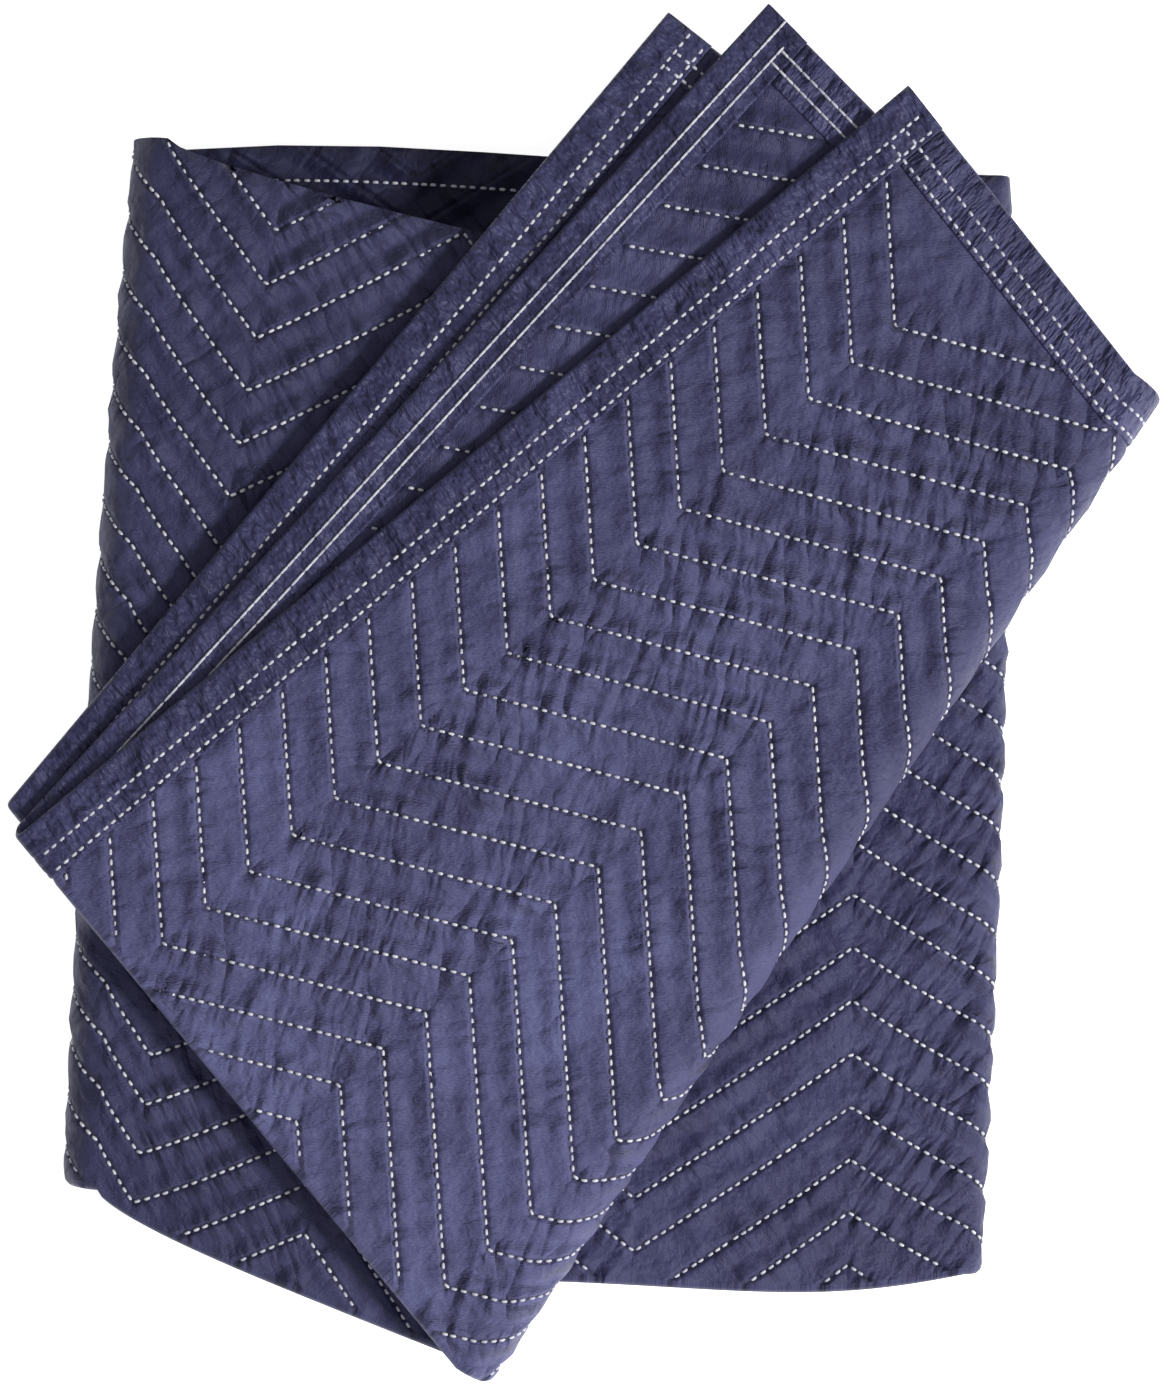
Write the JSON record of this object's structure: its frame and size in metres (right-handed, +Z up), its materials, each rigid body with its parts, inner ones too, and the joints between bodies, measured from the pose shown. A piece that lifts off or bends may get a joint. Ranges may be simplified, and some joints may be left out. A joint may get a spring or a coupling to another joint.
{
  "type": "moving blanket",
  "caption": "Navy quilted moving blanket with bound edges, folded into a flat packet with one slanted flap across the top.",
  "frame": {"origin": "centre of the packet's outline, on the surface that it lies on", "axes": "+Z up through the folded layers, +Y along the packet's length towards the fanned bound ends, +X to the right as seen from above"},
  "size_m": [0.6202, 0.738, 0.065],
  "materials": {
    "quilted_cloth": "matt",
    "binding": "matt"
  },
  "bodies": {
    "root": {"quilted_cloth": "quilted_cloth", "front_end_binding": "binding", "front_side_binding_upper": "binding", "front_side_binding_lower": "binding", "back_end_binding": "binding", "back_side_binding_upper": "binding", "back_side_binding_lower": "binding"}
  },
  "joints": []
}
